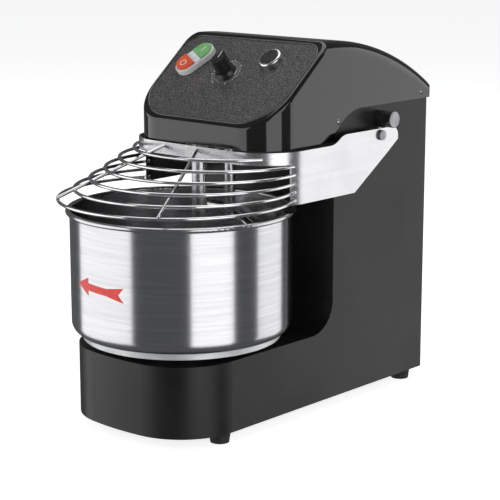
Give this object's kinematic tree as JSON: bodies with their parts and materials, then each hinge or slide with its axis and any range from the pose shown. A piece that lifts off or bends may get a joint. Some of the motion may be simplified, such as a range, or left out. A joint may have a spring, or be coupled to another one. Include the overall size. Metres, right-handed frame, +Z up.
{
  "type": "spiral dough mixer",
  "caption": "Worktop spiral dough mixer: turning steel bowl on a low base, column and overhanging head with spiral hook and breaker bar, tilting wire guard, sloped control panel.",
  "frame": {"origin": "middle of the footprint on the worktop, below the middle of the overall box", "axes": "+X to the operator's right, -Y to the front where the operator stands, +Z up"},
  "size_m": [0.281, 0.488, 0.447],
  "materials": {
    "black_body": "satin powder coat",
    "black_head": "gloss",
    "panel_black": "crinkle texture",
    "bright_steel": "polished wire",
    "satin_steel": "satin",
    "bowl_steel": "brushed round the bowl",
    "pale_ring": "satin",
    "rubber_black": "matte",
    "black_plastic": "satin",
    "grey_plastic": "satin",
    "green_key": "gloss",
    "red_key": "gloss",
    "clear_lens": "gloss",
    "chrome_ring": "polished",
    "dark_steel": "turned",
    "raw_steel": "plain",
    "motor_grey": "satin",
    "belt_black": "matte"
  },
  "bodies": {
    "frame": {"body_shell": "black_body", "bottom_plate": "black_body", "rear_cover": "black_body", "rear_cover_screws": "dark_steel", "cable_gland": "black_plastic", "head_cover": "black_head", "cover_screws": "dark_steel", "control_panel": "panel_black", "dual_button_bezel": "grey_plastic", "pilot_lamp": "clear_lens", "timer_dial": "chrome_ring", "jog_button_bezel": "chrome_ring", "dual_contact_block": "black_plastic", "timer_clockwork": "grey_plastic", "jog_contact_block": "black_plastic", "head_floor": "black_body", "head_beam": "raw_steel", "spiral_bearing": "raw_steel", "breaker_bar": "satin_steel", "breaker_bolts": "dark_steel", "bowl_bearing": "raw_steel", "lower_chain": "raw_steel", "upper_chain": "raw_steel", "layshaft_top_bearing": "raw_steel", "layshaft_foot_bearing": "raw_steel", "motor": "motor_grey", "motor_bracket": "raw_steel", "drive_belt": "belt_black", "guard_switch": "black_plastic", "guard_spacers": "satin_steel", "beam_brackets": "raw_steel", "foot_front_left": "rubber_black", "foot_front_right": "rubber_black", "foot_rear_left": "rubber_black", "foot_rear_right": "rubber_black", "pivot_bolt_left": "dark_steel", "guard_stop_left": "dark_steel", "pivot_bolt_right": "dark_steel", "guard_stop_right": "dark_steel"},
    "bowl": {"bowl": "bowl_steel", "bowl_ring": "pale_ring", "bowl_shaft": "raw_steel", "bowl_sprocket": "raw_steel"},
    "spiral": {"spiral_hook": "satin_steel", "spiral_spindle": "raw_steel", "spiral_sprocket": "raw_steel"},
    "layshaft_group": {"layshaft": "raw_steel", "layshaft_low_sprocket": "raw_steel", "layshaft_top_sprocket": "raw_steel", "layshaft_pulley": "raw_steel"},
    "motor_rotor": {"motor_shaft": "raw_steel", "motor_pulley": "raw_steel"},
    "guard": {"guard_frame": "satin_steel", "guard_hoops": "bright_steel", "guard_rods": "bright_steel"},
    "start_key": {"start_button": "green_key"},
    "stop_key": {"stop_button": "red_key"},
    "jog_key": {"jog_button": "black_plastic"},
    "timer": {"timer_knob": "black_plastic"}
  },
  "joints": [
    {"name": "bowl_spin", "type": "hinge", "parent": "frame", "child": "bowl", "pos_m": [0, -0.098, 0.1057], "axis": [0, 0, -1], "continuous": true},
    {"name": "spiral_spin", "type": "hinge", "parent": "frame", "child": "spiral", "pos_m": [0, -0.014, 0.3285], "axis": [0, 0, -1], "continuous": true},
    {"name": "layshaft_spin", "type": "hinge", "parent": "frame", "child": "layshaft_group", "pos_m": [0, 0.107, 0.3], "axis": [0, 0, -1], "continuous": true},
    {"name": "motor_spin", "type": "hinge", "parent": "frame", "child": "motor_rotor", "pos_m": [0, 0.184, 0.3], "axis": [0, 0, -1], "continuous": true},
    {"name": "guard_tilt", "type": "hinge", "parent": "frame", "child": "guard", "pos_m": [0, 0.123, 0.33], "axis": [-1, 0, 0], "range_deg": [0, 55]},
    {"name": "start_press", "type": "slide", "parent": "frame", "child": "start_key", "axis": [0, 0.6422, -0.7665], "range_m": [0, 0.003], "stiffness_N_per_m": 400, "springref_m": -0.002},
    {"name": "stop_press", "type": "slide", "parent": "frame", "child": "stop_key", "axis": [0, 0.6422, -0.7665], "range_m": [0, 0.003], "stiffness_N_per_m": 400, "springref_m": -0.002},
    {"name": "jog_press", "type": "slide", "parent": "frame", "child": "jog_key", "axis": [0, 0.6422, -0.7665], "range_m": [0, 0.003], "stiffness_N_per_m": 400, "springref_m": -0.002},
    {"name": "timer_turn", "type": "hinge", "parent": "frame", "child": "timer", "pos_m": [-0.008, -0.01115, 0.40666], "axis": [0, 0.6422, -0.7665], "range_deg": [0, 300]}
  ],
  "couplings": [
    {"joint": "layshaft_spin", "follows": "bowl_spin", "ratio": 3.3},
    {"joint": "spiral_spin", "follows": "bowl_spin", "ratio": 6.6},
    {"joint": "motor_spin", "follows": "bowl_spin", "ratio": 8.4333}
  ]
}
